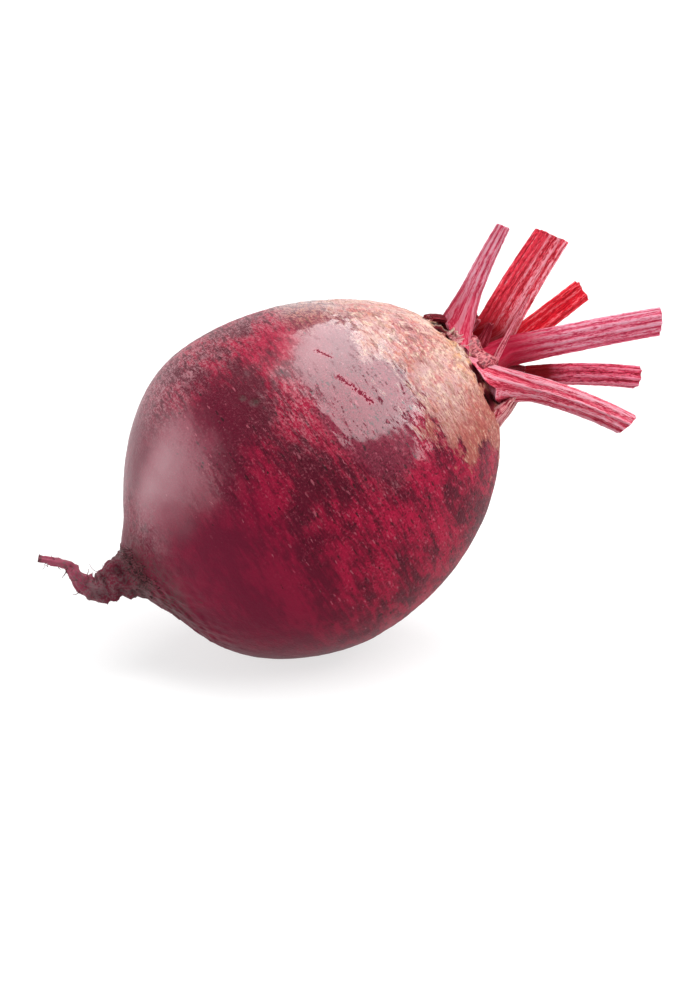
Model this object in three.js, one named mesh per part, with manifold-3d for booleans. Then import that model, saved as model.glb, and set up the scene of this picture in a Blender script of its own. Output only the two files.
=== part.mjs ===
// A whole beetroot as it is sold with its leaves trimmed: one swollen root with its crown and thin tail,
// and six cut leaf stalks that fan out of the crown. It lies on its side on a small flat spot.
//
// Units are millimetres. Every piece is built upright in the plant's own frame, where +Z is the growing
// direction and the origin is the middle of the root's widest ring. The plant is then laid down, with +Z up
// and the part's origin in the middle of the flat spot. In the plant's frame +X ends up as the underside
// and +Y as the back.
import * as THREE from "three";
import { mergeVertices } from "three/addons/utils/BufferGeometryUtils.js";
import Module from "manifold-3d";

const wasm = await Module();
wasm.setup();

// ---------- Driving dimensions ----------
const ROOT_RADIUS = 39.6; // at the widest ring
const CROWN_REACH = 52; // half-axis of the long side, above the widest ring
const TAIL_REACH = 39; // half-axis of the blunt side, below it
const TAIL_TAPER = 1.44; // how fast the blunt side narrows: 1 is an ellipse, more is closer to a cone
const RIM_RADIUS = 14; // where the shoulder ends and the crown begins
const TILT = 32; // degrees that the growing direction rises above the surface
const FLAT_DEPTH = 0.9; // how much the flat spot takes off the lowest point
const ROOT_SIDES = 56;
const SEAT_GAP = 0.35; // clearance between a stalk's foot and the crown, and between two stalks
const OLD_LEAVES = 14; // withered leaf bases left round the living stalks
const ROOTLETS = 8;
const THINNEST_RADIUS = 0.32; // of a rootlet's end

const UP = new THREE.Vector3(0, 0, 1);
const DOWN = new THREE.Vector3(0, 0, -1);

const degrees = THREE.MathUtils.degToRad;
const mix = THREE.MathUtils.lerp;
const smooth = THREE.MathUtils.smoothstep;

// A repeatable random number generator, so that every build gives the same plant.
function seeded(seed) {
  let state = seed;
  return () => {
    state = (state * 1664525 + 1013904223) % 4294967296;
    return state / 4294967296;
  };
}

// The direction straight out from the growing axis at an angle round it.
function outwards(angle) {
  return new THREE.Vector3(Math.cos(angle), Math.sin(angle), 0);
}

// ---------- Solids from rings ----------
// rings is a list of closed loops with the same number of points, from one end of the piece to the other.
// Each end is closed on a tip.
function solidFromRings(rings, firstTip, lastTip) {
  const sides = rings[0].length;
  const points = [firstTip, ...rings.flat(), lastTip];
  const last = points.length - 1;
  const end = last - sides;
  const triangles = [];
  for (let side = 0; side < sides; side++) {
    const next = (side + 1) % sides;
    triangles.push(0, 1 + side, 1 + next);
    for (let ring = 0; ring + 1 < rings.length; ring++) {
      const near = 1 + ring * sides;
      const far = near + sides;
      triangles.push(near + side, far + next, near + next);
      triangles.push(near + side, far + side, far + next);
    }
    triangles.push(last, end + next, end + side);
  }
  const positions = new Float32Array(points.flatMap((point) => point.toArray()));
  return new THREE.BufferGeometry()
    .setAttribute("position", new THREE.BufferAttribute(positions, 3))
    .setIndex(triangles);
}

function toManifold(geometry) {
  const bare = geometry.clone();
  for (const name of ["normal", "uv"]) bare.deleteAttribute(name);
  const merged = mergeVertices(bare, 1e-4);
  return new wasm.Manifold(
    new wasm.Mesh({
      numProp: 3,
      vertProperties: merged.attributes.position.array,
      triVerts: new Uint32Array(merged.index.array),
    }),
  );
}

function toGeometry(manifold) {
  const mesh = manifold.getMesh();
  return new THREE.BufferGeometry()
    .setAttribute("position", new THREE.BufferAttribute(new Float32Array(mesh.vertProperties), 3))
    .setIndex(new THREE.BufferAttribute(new Uint32Array(mesh.triVerts), 1));
}

// ---------- The root's skin: crown, shoulder, belly and tail in one surface ----------
// [radius, height above the shoulder's end]: the hollow that the inner stalks grow from, the collar of leaf
// bases round it, and the corky ledge outside the collar.
const CROWN_STEPS = [
  [2.8, 4.3],
  [5.0, 4.3],
  [6.4, 4.9],
  [7.5, 5.9],
  [8.5, 6.1],
  [9.4, 5.0],
  [10.3, 3.2],
  [11.2, 1.8],
  [12.4, 1.5],
  [13.5, 0.8],
];

// The tail's line: [towards the upper side, towards the back, below the widest ring, radius].
const TAIL_ROUTE = [
  [4.4, 0.2, 37.2, 7.0],
  [5.9, 0.3, 39.4, 5.1],
  [6.2, 0.3, 42.2, 4.2],
  [6.2, 0.2, 45.0, 3.6],
  [7.3, -0.1, 47.6, 3.0],
  [10.2, -0.6, 48.7, 2.2],
  [13.4, -1.0, 48.9, 1.7],
  [16.0, -0.8, 49.8, 1.35],
  [18.2, -0.2, 51.4, 1.05],
  [20.6, 0.5, 53.7, 0.85],
];

const rimAngle = Math.acos(RIM_RADIUS / ROOT_RADIUS);
const rimHeight = CROWN_REACH * Math.sin(rimAngle);

function shoulderStation(angle) {
  const centre = new THREE.Vector3(0, 0, CROWN_REACH * Math.sin(angle));
  return { centre, radius: ROOT_RADIUS * Math.cos(angle), facing: DOWN };
}

// Near the tail the belly's rings move over, because the tail leaves a little above the middle.
function bellyStation(angle) {
  const lift = TAIL_ROUTE[0][0] * smooth(angle, degrees(56), degrees(73));
  const centre = new THREE.Vector3(-lift, 0, -TAIL_REACH * Math.sin(angle));
  return { centre, radius: ROOT_RADIUS * Math.cos(angle) ** TAIL_TAPER, facing: DOWN };
}

const tailLine = new THREE.CatmullRomCurve3(
  TAIL_ROUTE.map(([up, back, below]) => new THREE.Vector3(-up, back, -below)),
);

function tailStation(along) {
  const place = along * (TAIL_ROUTE.length - 1);
  const before = Math.min(Math.floor(place), TAIL_ROUTE.length - 2);
  const radius = mix(TAIL_ROUTE[before][3], TAIL_ROUTE[before + 1][3], place - before);
  const turn = smooth(along, 0, 0.25);
  const facing = DOWN.clone().lerp(tailLine.getTangent(along), turn).normalize();
  return { centre: tailLine.getPoint(along), radius, facing, along };
}

// From the middle of the crown to the end of the tail: the middle of each ring, its radius and the way it faces.
function rootStations() {
  const crown = CROWN_STEPS.map(([radius, rise]) => ({
    centre: new THREE.Vector3(0, 0, rimHeight + rise),
    radius,
    facing: DOWN,
  }));
  const shoulderSteps = 14;
  const bellySteps = 14;
  const tailSteps = 24;
  const belowTailEdge = degrees(72.5);
  const shares = (steps) => Array.from({ length: steps }, (_, step) => step / steps);
  return [
    ...crown,
    ...shares(shoulderSteps).map((share) => shoulderStation(rimAngle * (1 - share))),
    ...shares(bellySteps).map((share) => bellyStation(belowTailEdge * share)),
    ...[...shares(tailSteps), 1].map(tailStation),
  ];
}

const hump = (value, middle, width) => Math.exp(-(((value - middle) / width) ** 2));

// How far the skin stands out from a plain ring, in mm.
function skinRelief(angle, { centre, radius, along }) {
  if (along !== undefined) {
    const folds = 0.13 * Math.cos(5 * angle + 9 * along);
    const knots = 0.1 * Math.cos(2 * angle - 34 * along);
    return radius * (folds + knots) * (1 - 0.5 * along);
  }
  const height = centre.z;
  const share = radius / ROOT_RADIUS;
  const lumps =
    -0.5 * Math.cos(2 * angle) -
    0.4 * Math.cos(3 * angle + 0.05 * (height + 20)) +
    0.25 * Math.cos(5 * angle - 0.07 * (height + 20));
  const heel = (1.7 * hump(height, -30, 8) - 0.9 * hump(height, -8, 14)) * Math.cos(angle / 2) ** 4;
  const crownFolds = 0.35 * Math.cos(11 * angle + 1) + 0.3 * Math.cos(7 * angle);
  const tailFolds = 0.55 * Math.cos(6 * angle + 0.8);
  return (
    share * lumps +
    heel +
    smooth(height, 30, 48) * crownFolds +
    smooth(-height, 27, 35) * tailFolds * Math.min(1, 2 * share)
  );
}

// How far the collar's edge rises and falls round the crown.
function collarRelief(angle, radius) {
  return hump(radius, 8.4, 1.6) * (0.55 * Math.cos(5 * angle + 2) + 0.4 * Math.cos(8 * angle));
}

function rootSkin() {
  const stations = rootStations();
  const rings = stations.map((station) => {
    const { centre, radius, facing } = station;
    const side = new THREE.Vector3().crossVectors(facing, new THREE.Vector3(0, 1, 0)).normalize();
    const back = new THREE.Vector3().crossVectors(side, facing);
    return Array.from({ length: ROOT_SIDES }, (_, index) => {
      const angle = (index / ROOT_SIDES) * 2 * Math.PI;
      const reach = radius + skinRelief(angle, station);
      const raise = centre.z > rimHeight ? collarRelief(angle, radius) : 0;
      return centre
        .clone()
        .addScaledVector(side, reach * Math.cos(angle))
        .addScaledVector(back, reach * Math.sin(angle))
        .addScaledVector(UP, raise);
    });
  });
  const growingPoint = stations[0].centre.clone().addScaledVector(UP, 0.1);
  const tailEnd = stations.at(-1);
  const tailTip = tailEnd.centre.clone().addScaledVector(tailEnd.facing, 0.3);
  return toManifold(solidFromRings(rings, growingPoint, tailTip));
}

// ---------- Leaf stalks ----------
// A stalk's cut across: a rounded back with ribs, and a channel down the face that looks at the growing axis.
function stalkOutline(sides, width, thickness, channel, ribs) {
  return Array.from({ length: sides }, (_, index) => {
    const angle = (-index / sides) * 2 * Math.PI;
    const across = Math.cos(angle);
    const inwards = Math.sin(angle);
    const dip = inwards > 0 ? 1 - channel * Math.exp(-((across / 0.6) ** 2)) : 1;
    const rib = 1 + 0.055 * Math.cos(ribs * angle);
    return [(width / 2) * across * rib, (thickness / 2) * inwards * dip * rib];
  });
}

// foot is [towards the underside, towards the back, height above the shoulder's end]. The stalk heads out at
// the angle around (0 is the underside, 90 the back, 180 the upper side and -90 the front), leaning leans[0]
// degrees off the axis at its foot and leans[1] at its cut end. Its rounded back looks at the angle facing.
// flare widens its foot, slant tips the cut end across its width, and swell fattens the whole stalk, for
// cutting its neighbours clear of it.
function stalkSolid(stalk, swell = 0) {
  const { foot, around, facing, leans, length, width, endWidth, thickness } = stalk;
  const { flare = 0, slant = 0, ribs = 9, sides = 26, steps = 9, channel = 0.6 } = stalk;
  const out = outwards(degrees(around));
  const back = outwards(degrees(facing));
  const spot = new THREE.Vector3(foot[0], foot[1], rimHeight + foot[2]);
  const rings = [];
  for (let step = 0; step <= steps; step++) {
    const along = step / steps;
    const lean = degrees(mix(leans[0], leans[1], along ** 0.8));
    const heading = UP.clone().multiplyScalar(Math.cos(lean)).addScaledVector(out, Math.sin(lean));
    if (step > 0) spot.addScaledVector(heading, length / steps);
    const side = new THREE.Vector3().crossVectors(heading, back).normalize();
    const inwards = new THREE.Vector3().crossVectors(heading, side);
    const spread = 1 + flare * Math.exp((-along * length) / 5);
    const ringWidth = mix(width, endWidth, along) * spread + 2 * swell;
    const ringThickness = thickness * mix(1, endWidth / width, along) + 2 * swell;
    const depth = channel * smooth(along, -0.15, 0.3);
    const tip = step === steps ? slant : 0;
    const place = ([across, inner]) =>
      spot
        .clone()
        .addScaledVector(side, across)
        .addScaledVector(inwards, inner)
        .addScaledVector(heading, tip * across);
    rings.push(stalkOutline(sides, ringWidth, ringThickness, depth, ribs).map(place));
  }
  const middle = (ring) => ring.reduce((sum, point) => sum.add(point), new THREE.Vector3()).divideScalar(sides);
  return toManifold(solidFromRings(rings, middle(rings[0]), middle(rings.at(-1))));
}

// Innermost first, because each is cut clear of those before it.
const STALKS = [
  {
    name: "stalk_back_broad",
    foot: [2.7, 2.5, 2.5],
    around: 139,
    facing: 98,
    leans: [31, 22],
    length: 36.8,
    width: 10.4,
    endWidth: 8.6,
    thickness: 4.8,
    ribs: 13,
    sides: 36,
  },
  {
    name: "stalk_inner",
    foot: [-1.7, -2.0, 2.5],
    around: -12,
    facing: -80,
    leans: [21, 25],
    length: 44.3,
    width: 7.0,
    endWidth: 6.4,
    thickness: 4.8,
    slant: -0.15,
    ribs: 11,
    sides: 30,
  },
  {
    name: "stalk_back_short",
    foot: [4.2, 5.4, 2.5],
    around: 75,
    facing: 78,
    leans: [15, 22.5],
    length: 34.7,
    width: 5.4,
    endWidth: 5.2,
    thickness: 4.2,
    sides: 24,
  },
  {
    name: "stalk_under",
    foot: [6.1, 2.7, 2.5],
    around: 8,
    facing: -50,
    leans: [25, 43.5],
    length: 38.8,
    width: 5.4,
    endWidth: 5.6,
    thickness: 4.8,
  },
  {
    name: "stalk_upper",
    foot: [-9.3, -1.3, 3.4],
    around: 172,
    facing: 235,
    leans: [37, 27],
    length: 25.6,
    width: 5.6,
    endWidth: 3.0,
    thickness: 4.8,
    flare: 0.5,
    slant: 0.1,
  },
  {
    name: "stalk_front",
    foot: [2.8, -6.3, 2.5],
    around: -17,
    facing: -62,
    leans: [39, 61.5],
    length: 33.8,
    width: 5.8,
    endWidth: 5.2,
    thickness: 4.8,
    flare: 0.6,
    slant: -0.35,
  },
];

// ---------- What has grown into the root: old leaf bases, rootlets and cracks ----------
// Withered leaf bases follow each other round the crown by the golden angle, the oldest outermost.
function oldLeafBase(index, random) {
  const age = index / (OLD_LEAVES - 1);
  const around = 50 + 137.5 * index;
  const distance = mix(8.7, 12.2, age);
  const foot = outwards(degrees(around)).multiplyScalar(distance);
  const width = mix(4.4, 6.6, age) * mix(0.85, 1.15, random());
  return stalkSolid({
    foot: [foot.x, foot.y, mix(3.4, 0.2, age)],
    around: around + mix(-15, 15, random()),
    facing: around,
    leans: [mix(12, 30, age), mix(30, 52, age)],
    length: mix(4.6, 2.4, age) * mix(0.7, 1.2, random()),
    width,
    endWidth: width * 0.72,
    thickness: 2.2,
    slant: mix(-0.5, 0.5, random()),
    channel: 0.3,
    ribs: 5,
    sides: 10,
    steps: 2,
  });
}

// Short young leaves between the stalks: [towards the underside, towards the back, where it heads, length].
const YOUNG_LEAVES = [
  [-5.6, 1.0, 170, 7.0],
  [6.0, -1.9, -20, 6.0],
  [-4.6, 6.2, 130, 8.0],
  [-3.0, -6.6, -110, 4.2],
];

function youngLeaf([x, y, around, length]) {
  return stalkSolid({
    foot: [x, y, 2.6],
    around,
    facing: around,
    leans: [4, 20],
    length,
    width: 3.4,
    endWidth: 2.4,
    thickness: 2.0,
    channel: 0.3,
    ribs: 5,
    sides: 10,
    steps: 2,
  });
}

// One torn leaf base hangs over the crown's upper edge.
const TORN_LEAF_BASE = {
  foot: [-9.6, 0.4, 3.2],
  around: 180,
  facing: 180,
  leans: [80, 132],
  length: 7.4,
  width: 4.6,
  endWidth: 2.6,
  thickness: 2.2,
  slant: 0.4,
  sides: 12,
  steps: 5,
};

// Cracks at the edge of the cork: [angle round the crown, distance, height, length, width, depth].
const CRACKS = [
  [193, 13.6, 0.4, 4.4, 2.4, 3.0],
  [207, 12.4, 1.6, 2.6, 1.6, 2.0],
  [262, 11.6, 1.9, 4.6, 1.5, 2.4],
  [295, 12.0, 1.6, 4.8, 2.6, 3.2],
  [20, 12.6, 1.4, 4.0, 1.8, 2.4],
  [95, 12.2, 1.6, 3.4, 1.8, 2.4],
];

function crack([angle, distance, rise, length, width, depth]) {
  const ellipsoid = new THREE.SphereGeometry(0.5, 10, 6).scale(width, length, 2 * depth);
  ellipsoid.translate(distance, 0, rimHeight + rise);
  return toManifold(ellipsoid.rotateZ(degrees(angle)));
}

// A rootlet leaves the tail sideways and bends towards the tail's tip.
function rootlet(index, random) {
  const { centre, radius, facing } = tailStation(0.04 + (0.8 * (index + random())) / ROOTLETS);
  const side = new THREE.Vector3().crossVectors(facing, new THREE.Vector3(0, 1, 0)).normalize();
  const back = new THREE.Vector3().crossVectors(side, facing);
  const angle = 2 * Math.PI * random();
  const out = side.clone().multiplyScalar(Math.cos(angle)).addScaledVector(back, Math.sin(angle));
  const length = mix(1.2, 4.2, random() ** 2);
  const steps = 4;
  const sides = 5;
  const heading = out.clone();
  const spot = centre.clone().addScaledVector(out, radius * 0.6);
  const rings = [];
  for (let step = 0; step <= steps; step++) {
    if (step > 0) spot.addScaledVector(heading, (radius * 0.4 + length) / steps);
    const across = new THREE.Vector3().crossVectors(heading, facing).normalize();
    const along = new THREE.Vector3().crossVectors(heading, across);
    const thickness = mix(Math.min(0.7, radius * 0.4), THINNEST_RADIUS, step / steps);
    rings.push(
      Array.from({ length: sides }, (_, corner) => {
        const turn = (corner / sides) * 2 * Math.PI;
        return spot
          .clone()
          .addScaledVector(across, thickness * Math.cos(turn))
          .addScaledVector(along, -thickness * Math.sin(turn));
      }),
    );
    heading.addScaledVector(facing, 0.25).addScaledVector(back, mix(-0.2, 0.2, random())).normalize();
  }
  return toManifold(solidFromRings(rings, spot.clone().copy(centre).addScaledVector(out, radius * 0.6), spot));
}

// Everything that grew into the root, cut clear of the stalks' space.
function grownRoot(skin, stalksSpace) {
  const random = seeded(7);
  const leafBases = Array.from({ length: OLD_LEAVES }, (_, index) => oldLeafBase(index, random));
  const rootlets = Array.from({ length: ROOTLETS }, (_, index) => rootlet(index, random));
  const leaves = [...leafBases, ...YOUNG_LEAVES.map(youngLeaf), stalkSolid(TORN_LEAF_BASE)];
  const remains = wasm.Manifold.union(leaves).subtract(stalksSpace);
  const cracked = skin.subtract(wasm.Manifold.union(CRACKS.map(crack)));
  return largestBody(wasm.Manifold.union([cracked, remains, ...rootlets]));
}

function largestBody(solid) {
  return solid.decompose().reduce((kept, body) => (body.volume() > kept.volume() ? body : kept));
}

// The solid and everything within the seat gap of it, sideways or upwards.
function withClearance(solid) {
  const shifts = [[1, 0, 0], [-1, 0, 0], [0, 1, 0], [0, -1, 0], [0, 0, 1]];
  const copies = shifts.map((shift) => solid.translate(shift.map((value) => value * SEAT_GAP)));
  return wasm.Manifold.union([solid, ...copies]);
}

// ---------- Laying the plant down ----------
// The rest spot is cut flat in the plant's own frame, then the whole plant is turned and set on it.
const laidDown = new THREE.Matrix4().makeRotationY(degrees(90 - TILT));

function lowestHeight(geometry) {
  const laid = geometry.clone().applyMatrix4(laidDown);
  laid.computeBoundingBox();
  return laid.boundingBox.min.z;
}

// A slab whose top is the surface that the plant rests on, in the plant's frame.
function restingSlab(height) {
  const thickness = 10;
  const slab = new THREE.BoxGeometry(4 * ROOT_RADIUS, 4 * ROOT_RADIUS, thickness);
  slab.translate(0, 0, height - thickness / 2);
  return toManifold(slab.applyMatrix4(laidDown.clone().invert()));
}

function flatSpotMiddle(geometry, height) {
  const laid = geometry.clone().applyMatrix4(laidDown).getAttribute("position");
  const spot = new THREE.Box3();
  for (let index = 0; index < laid.count; index++) {
    const point = new THREE.Vector3().fromBufferAttribute(laid, index);
    if (Math.abs(point.z - height) < 0.01) spot.expandByPoint(point);
  }
  return spot.getCenter(new THREE.Vector3());
}

const skin = rootSkin();
const restHeight = lowestHeight(toGeometry(skin)) + FLAT_DEPTH;

let taken = withClearance(skin);
const stalks = STALKS.map((stalk) => {
  const solid = largestBody(stalkSolid(stalk).subtract(taken));
  taken = taken.add(stalkSolid(stalk, SEAT_GAP));
  return solid;
});
const stalksSpace = wasm.Manifold.union(STALKS.map((stalk) => stalkSolid(stalk, SEAT_GAP)));
const rootGeometry = toGeometry(grownRoot(skin, stalksSpace).subtract(restingSlab(restHeight)));

const plant = new THREE.Group();
plant.rotation.y = degrees(90 - TILT);
plant.position.copy(flatSpotMiddle(rootGeometry, restHeight)).negate();

function addPiece(name, geometry, color) {
  const mesh = new THREE.Mesh(geometry, new THREE.MeshStandardMaterial({ color, roughness: 0.5 }));
  mesh.name = name;
  plant.add(mesh);
}

addPiece("whole_root", rootGeometry, 0x6b1f33);
stalks.forEach((solid, index) => addPiece(STALKS[index].name, toGeometry(solid), 0xb4304f));

const beetroot = new THREE.Group();
beetroot.add(plant);
export default beetroot;
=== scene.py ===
import math

import bpy
import numpy as np
from mathutils import Matrix, Vector, noise


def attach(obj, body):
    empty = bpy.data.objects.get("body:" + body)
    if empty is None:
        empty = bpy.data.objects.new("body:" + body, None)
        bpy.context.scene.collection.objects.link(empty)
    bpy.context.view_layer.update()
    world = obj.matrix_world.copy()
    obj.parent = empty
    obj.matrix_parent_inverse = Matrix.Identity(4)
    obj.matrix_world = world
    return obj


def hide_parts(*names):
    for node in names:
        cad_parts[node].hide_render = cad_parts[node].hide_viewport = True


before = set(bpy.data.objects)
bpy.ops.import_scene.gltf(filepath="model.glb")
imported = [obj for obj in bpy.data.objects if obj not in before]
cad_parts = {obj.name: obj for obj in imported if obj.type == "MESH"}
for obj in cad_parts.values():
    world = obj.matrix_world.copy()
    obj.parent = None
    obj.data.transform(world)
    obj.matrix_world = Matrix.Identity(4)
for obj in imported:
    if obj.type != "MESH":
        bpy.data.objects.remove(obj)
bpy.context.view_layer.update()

# ---------- Camera ----------
# A long lens a little above the table, from the front and slightly from the tail's side. It looks at a
# point beside the root's middle, so that the tail and the stalks both have room.
CAMERA_AZIMUTH, CAMERA_ELEVATION = -15, 17
CAMERA_DISTANCE = 0.70
CAMERA_AIM = Vector((0.01340, -0.00435, 0.03474))
CAMERA_LENS = 112.15


def direction_to(azimuth, elevation):
    """The direction of an azimuth, from the front, and an elevation, both in degrees."""
    turn, rise = math.radians(azimuth), math.radians(elevation)
    return Vector((math.sin(turn) * math.cos(rise), -math.cos(turn) * math.cos(rise), math.sin(rise)))


towards_camera = direction_to(CAMERA_AZIMUTH, CAMERA_ELEVATION)
camera = bpy.data.objects.new("camera", bpy.data.cameras.new("camera"))
camera.data.lens = CAMERA_LENS
camera.data.sensor_width = 36
camera.data.clip_start, camera.data.clip_end = 0.01, 50
camera.location = CAMERA_AIM + towards_camera * CAMERA_DISTANCE
camera.rotation_mode = "QUATERNION"
camera.rotation_quaternion = towards_camera.to_track_quat("Z", "Y")
bpy.context.scene.collection.objects.link(camera)
bpy.context.scene.camera = camera

# ---------- Root ----------
# One swollen root with a thin wine-red skin, corky and beige round the crown. It grew as one piece, so it
# is one skin from the hollow between the stalks to the end of the tail. Sizes are in millimetres, in the
# plant's own frame: +Z is the growing direction, +X ends up underneath and +Y at the back.
ROOT_RADIUS = 39.6
CROWN_REACH = 52.0
TAIL_REACH = 39.0
TAIL_TAPER = 1.44
RIM_RADIUS = 14.0
GROWING_TILT = math.radians(58)
BELLY_END = math.radians(72.5)
EASING_PASSES, EASING_SHARE = 60, 0.9
WIDEST_RING_MIDDLE = np.array([-0.556, -0.161, 36.149])
ROOT_SIDES = 320
CROWN_RINGS, SHOULDER_RINGS, BELLY_RINGS, TAIL_RINGS = 46, 130, 62, 68
TAIL_START = CROWN_RINGS + SHOULDER_RINGS + BELLY_RINGS
CROWN_PROFILE = np.array([
    [0.3, 4.3], [2.8, 4.3], [5.0, 4.3], [6.4, 4.9], [7.5, 5.9], [8.5, 6.1],
    [9.4, 5.0], [10.3, 3.2], [11.2, 1.8], [12.4, 1.5], [13.5, 0.8], [14.0, 0.0],
])  # distance from the axis, height above the shoulder's end
TAIL_ROUTE = np.array([
    [4.1, 0.2, 37.2, 6.5], [5.5, 0.3, 39.4, 4.6], [6.2, 0.3, 42.2, 4.1], [6.4, 0.2, 45.0, 3.4],
    [7.6, -0.1, 47.4, 2.7], [10.3, -0.6, 48.6, 1.85], [13.3, -1.0, 48.7, 1.4], [15.8, -0.8, 49.1, 1.1],
    [18.1, -0.2, 50.8, 0.95], [20.7, 0.5, 53.4, 0.8],
])  # towards the upper side, towards the back, below the widest ring, radius
CRACKS = [
    [196, 13.4, 0.6, 3.0, 2.2, 3.0], [212, 12.6, 1.2, 2.6, 1.6, 2.0], [262, 12.9, 1.2, 4.6, 1.7, 3.4],
    [293, 13.1, 0.9, 4.6, 2.4, 3.8], [20, 12.6, 1.4, 4.0, 1.8, 2.4], [95, 12.2, 1.6, 3.4, 1.8, 2.4],
]  # angle round the crown, distance, height, length, width, depth
SLITS = [
    [-149.8, 22.2, -143.9, 23.6, 0.28], [-135.0, 22.6, -119.9, 25.1, 0.37], [62, 18.0, 74, 19.4, 0.3],
    [150, 9.0, 158, 9.5, 0.25], [-20, 27.0, -11, 27.8, 0.25],
]  # angle and height of one end, angle and height of the other, width
SCABS = [
    [-142, 4.5, 1.5], [-146, 3.0, 1.0], [-73, -35.2, 0.9], [-88, -35.6, 0.7],
    [-47, -35.0, 0.9], [-60, -33.5, 0.6], [60, -27.0, 0.6], [110, -29.0, 0.5],
    [150, -24.0, 0.6], [-88, -29.5, 0.35], [80, 3.0, 1.3], [20, -30.0, 0.5],
]  # angle, height, radius

rim_angle = math.acos(RIM_RADIUS / ROOT_RADIUS)
rim_height = CROWN_REACH * math.sin(rim_angle)


def ramp(value, low, high):
    """A soft step from 0 to 1 as value goes from low to high."""
    share = np.clip((np.asarray(value, float) - low) / (high - low), 0, 1)
    return share * share * (3 - 2 * share)


def mix_of(low, high, share):
    return low + (high - low) * share


def hump(value, middle, width):
    return np.exp(-(((value - middle) / width) ** 2))


def points_at(x, y, z):
    """Points from their three coordinates, each a number or an array."""
    return np.stack(np.broadcast_arrays(x, y, z), axis=-1)


def unit(vectors):
    """Each vector at a length of 1."""
    return vectors / np.linalg.norm(vectors, axis=-1, keepdims=True)


def ring_angles(sides):
    """Evenly spaced angles round a ring, in radians."""
    return np.arange(sides) / sides * 2 * math.pi


def smooth_line(points, places):
    """Points on a smooth line through the given points, at places from 0 to 1 along it."""
    padded = np.vstack([2 * points[0] - points[1], points, 2 * points[-1] - points[-2]])
    place = np.clip(np.asarray(places) * (len(points) - 1), 0, len(points) - 1 - 1e-9)
    before = place.astype(int)
    share = (place - before)[:, None]
    p0, p1, p2, p3 = (padded[before + step] for step in range(4))
    return 0.5 * (
        2 * p1 + (p2 - p0) * share + (2 * p0 - 5 * p1 + 4 * p2 - p3) * share**2
        + (3 * p1 - p0 - 3 * p2 + p3) * share**3
    )


def lay_down(points):
    """From the plant's frame in millimetres to where the plant lies, in metres."""
    x, y, z = np.moveaxis(np.asarray(points, float), -1, 0)
    cos, sin = math.cos(GROWING_TILT), math.sin(GROWING_TILT)
    return (points_at(x * cos + z * sin, y, z * cos - x * sin) + WIDEST_RING_MIDDLE) * 0.001


def ring_skin(rings, **marks):
    """The points, faces and marks of a closed skin over rings of points, with its faces looking out."""
    count, sides = rings.shape[:2]
    points = np.vstack([[rings[0].mean(axis=0)], rings.reshape(-1, 3), [rings[-1].mean(axis=0)]])
    side = np.arange(sides)
    following = (side + 1) % sides
    near = 1 + np.arange(count - 1)[:, None] * sides
    quads = np.stack([near + following, near + side, near + sides + side, near + sides + following], axis=-1)
    last = len(points) - 1
    caps = np.vstack([
        np.stack([np.zeros(sides, int), 1 + side, 1 + following], axis=-1),
        np.stack([np.full(sides, last), last - sides + following, last - sides + side], axis=-1),
    ])
    quads = quads.reshape(-1, 4)
    corner, first, second = (points[quads[:, place]] for place in (0, 1, 2))
    if np.einsum("ij,ij->", corner, np.cross(first, second)) < 0:
        quads, caps = quads[:, ::-1], caps[:, ::-1]
    spread = {}
    for mark, values in marks.items():
        flat = np.broadcast_to(values, rings.shape[:2] + np.shape(values)[2:]).reshape(count * sides, -1)
        spread[mark] = np.concatenate([flat[:1], flat, flat[-1:]])
    return points, quads.tolist() + caps.tolist(), spread


def skin_piece(name, skins, material):
    """One object from one or more closed skins, laid down where the plant lies, on the table."""
    points = np.vstack([skin[0] for skin in skins])
    faces, start = [], 0
    for skin in skins:
        faces += [[corner + start for corner in face] for face in skin[1]]
        start += len(skin[0])
    place = lay_down(points)
    place[:, 2] = np.maximum(place[:, 2], 0)
    mesh = bpy.data.meshes.new(name)
    mesh.from_pydata(place.tolist(), [], faces)
    mesh.polygons.foreach_set("use_smooth", [True] * len(faces))
    for mark in skins[0][2]:
        values = np.vstack([skin[2][mark] for skin in skins])
        if values.shape[1] == 1:
            mesh.attributes.new(mark, "FLOAT", "POINT").data.foreach_set("value", values.ravel())
        else:
            mesh.attributes.new(mark, "FLOAT_VECTOR", "POINT").data.foreach_set("vector", values.ravel())
    mesh.materials.append(material)
    piece = bpy.data.objects.new(name, mesh)
    bpy.context.scene.collection.objects.link(piece)
    return piece


def uneven(points, scale, octaves=3):
    """Smooth unevenness between about -1 and 1 at each point."""
    values = [noise.fractal(Vector(point) * scale, 1.0, 2.0, octaves) for point in points.reshape(-1, 3)]
    return np.array(values).reshape(points.shape[:-1])


def outwards(angle):
    """The direction away from the axis at an angle round it, in degrees."""
    return np.array([math.cos(math.radians(angle)), math.sin(math.radians(angle)), 0.0])


crown_rings = smooth_line(CROWN_PROFILE, np.arange(CROWN_RINGS) / CROWN_RINGS)
shoulder_angles = rim_angle * (1 - np.arange(SHOULDER_RINGS) / SHOULDER_RINGS)
belly_angles = BELLY_END * np.arange(BELLY_RINGS) / BELLY_RINGS
tail_places = np.arange(TAIL_RINGS + 1) / TAIL_RINGS
tail_line = smooth_line(TAIL_ROUTE, tail_places)
belly_lift = TAIL_ROUTE[0, 0] * ramp(belly_angles, math.radians(56), math.radians(73))
ring_middles = np.vstack([
    points_at(0, 0, rim_height + crown_rings[:, 1]),
    points_at(0, 0, CROWN_REACH * np.sin(shoulder_angles)),
    points_at(-belly_lift, 0, -TAIL_REACH * np.sin(belly_angles)),
    points_at(-tail_line[:, 0], tail_line[:, 1], -tail_line[:, 2]),
])
ring_radii = np.concatenate([
    crown_rings[:, 0], ROOT_RADIUS * np.cos(shoulder_angles),
    ROOT_RADIUS * np.cos(belly_angles) ** TAIL_TAPER, tail_line[:, 3],
])
ring_number = np.arange(len(ring_radii))
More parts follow.
